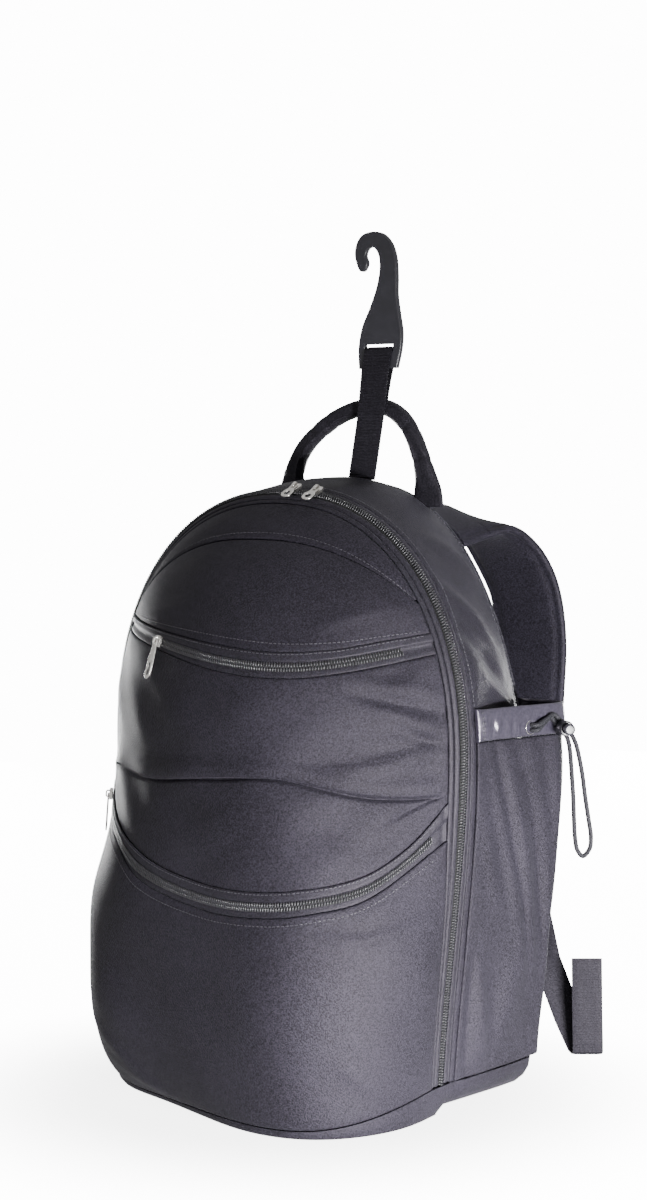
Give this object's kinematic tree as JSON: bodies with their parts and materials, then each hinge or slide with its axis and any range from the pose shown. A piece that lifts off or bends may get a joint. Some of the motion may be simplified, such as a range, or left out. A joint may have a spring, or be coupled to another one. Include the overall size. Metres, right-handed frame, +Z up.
{
  "type": "baseball bat backpack",
  "caption": "Black cloth backpack with arched main zip, two zipped front pockets, open side pockets for bats or bottles, padded straps, haul handle and fence hook.",
  "frame": {"origin": "on the floor under the middle of the bag, at the flat underside of the base", "axes": "+Z up, -Y out of the front, +X to the wearer's right"},
  "size_m": [0.399, 0.3629, 0.6739],
  "materials": {
    "twill": "black coated twill",
    "satin": "smooth black nylon with a sheen",
    "zip_tape": "woven tape",
    "zip_coil": "moulded coil teeth",
    "mesh": "padded air mesh",
    "webbing": "ribbed webbing",
    "strap_cloth": "padded cloth",
    "plastic": "moulded, slightly glossy",
    "cord": "round braided cord",
    "nickel": "plated zinc, satin"
  },
  "bodies": {
    "root": {"lower_panel": "twill", "middle_panel": "twill", "upper_panel": "twill", "top_panel": "twill", "lower_zip_tape": "zip_tape", "lower_zip_coil": "zip_coil", "upper_zip_tape": "zip_tape", "upper_zip_coil": "zip_coil", "main_zip_tape_front": "zip_tape", "main_zip_tape_rear": "zip_tape", "main_zip_coil": "zip_coil", "gusset": "twill", "back_panel": "mesh", "base_panel": "twill", "side_pocket_right": "twill", "pocket_hem_right": "satin", "side_pocket_left": "twill", "pocket_hem_left": "satin", "eyelet_right": "nickel", "eyelet_left": "nickel", "cord_lock_body": "plastic", "draw_cord": "cord", "haul_handle": "webbing", "hook_strap": "webbing", "fence_hook": "plastic", "shoulder_strap_right": "strap_cloth", "ladder_lock_right": "plastic", "lower_webbing_right": "webbing", "shoulder_strap_left": "strap_cloth", "ladder_lock_left": "plastic", "lower_webbing_left": "webbing", "lower_slider": "nickel", "upper_slider": "nickel", "main_left_slider": "nickel", "main_right_slider": "nickel"},
    "lower_pull": {"lower_pull": "nickel"},
    "upper_pull": {"upper_pull": "nickel"},
    "main_left_pull": {"main_left_pull": "nickel"},
    "main_right_pull": {"main_right_pull": "nickel"},
    "cord_lock_button": {"cord_lock_button": "plastic"}
  },
  "joints": [
    {"name": "lower_pull_swing", "type": "hinge", "parent": "root", "child": "lower_pull", "pos_m": [-0.15065, -0.03404, 0.2251], "axis": [-0.5628, 0.8266, 0], "range_deg": [0, 150]},
    {"name": "upper_pull_swing", "type": "hinge", "parent": "root", "child": "upper_pull", "pos_m": [-0.06755, -0.08085, 0.35378], "axis": [-0.9091, 0.4166, 0], "range_deg": [0, 150]},
    {"name": "main_left_pull_swing", "type": "hinge", "parent": "root", "child": "main_left_pull", "pos_m": [0.01206, -0.00869, 0.47228], "axis": [-0.9986, 0, 0.0533], "range_deg": [0, 150]},
    {"name": "main_right_pull_swing", "type": "hinge", "parent": "root", "child": "main_right_pull", "pos_m": [0.03182, -0.00867, 0.47012], "axis": [-0.9857, 0, 0.1685], "range_deg": [0, 150]},
    {"name": "cord_lock_press", "type": "slide", "parent": "root", "child": "cord_lock_button", "axis": [-0.7294, 0.6841, 0], "range_m": [0, 0.003], "stiffness_N_per_m": 600, "springref_m": -0.002}
  ]
}
